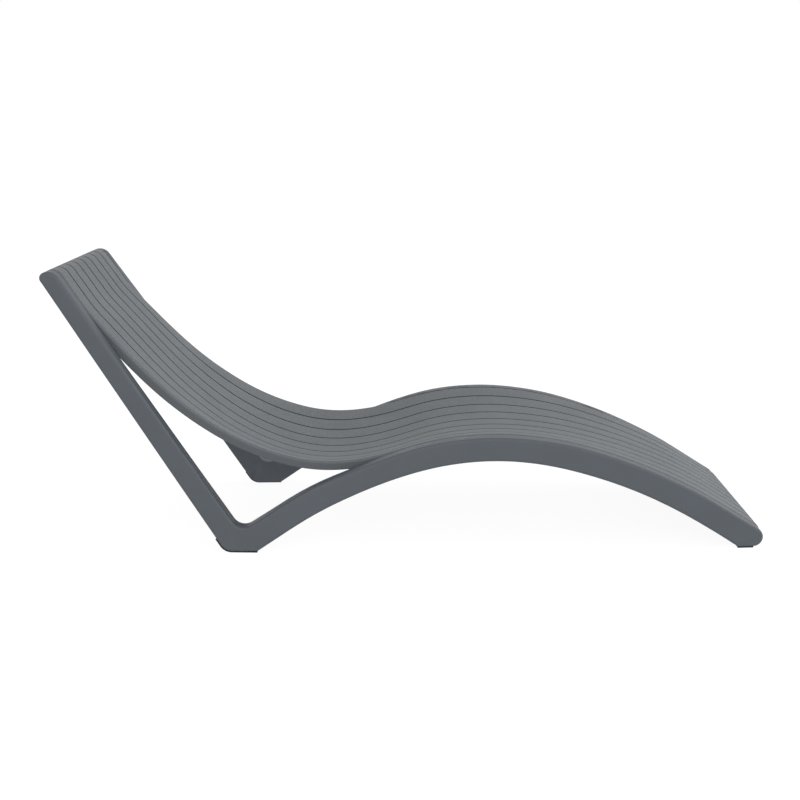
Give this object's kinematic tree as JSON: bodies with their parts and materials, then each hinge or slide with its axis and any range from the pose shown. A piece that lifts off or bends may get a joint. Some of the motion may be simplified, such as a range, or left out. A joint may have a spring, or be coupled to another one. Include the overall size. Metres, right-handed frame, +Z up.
{
  "type": "sun lounger",
  "caption": "Rigid contour sun lounger: two bent side frames carry a dished deck of lengthwise slats, with a raised back, a seat hollow and a raised knee arch.",
  "frame": {"origin": "on the floor, midway between the two ends and the two sides", "axes": "+X from the head end to the toe end, +Y across towards the sitter's left, +Z up"},
  "size_m": [1.8032, 0.6442, 0.706],
  "materials": {
    "slat": "mid grey, fine dry speckled grain",
    "frame": "mid grey, smooth satin",
    "rail": "dark grey, plain matt",
    "sole": "black, matt",
    "steel": "plain stainless"
  },
  "bodies": {
    "root": {"slat_1": "slat", "slat_2": "slat", "slat_3": "slat", "slat_4": "slat", "slat_5": "slat", "slat_6": "slat", "slat_7": "slat", "slat_8": "slat", "head_rail": "rail", "upper_back_rail": "rail", "mid_back_rail": "rail", "seat_rail": "rail", "thigh_rail": "rail", "knee_rail": "rail", "calf_rail": "rail", "shin_rail": "rail", "toe_rail": "rail", "side_frame_left": "frame", "side_frame_right": "frame", "heel_sole_left": "sole", "heel_sole_right": "sole", "toe_sole_left": "sole", "toe_sole_right": "sole", "slat_screws": "steel", "frame_bolts": "steel"}
  },
  "joints": []
}
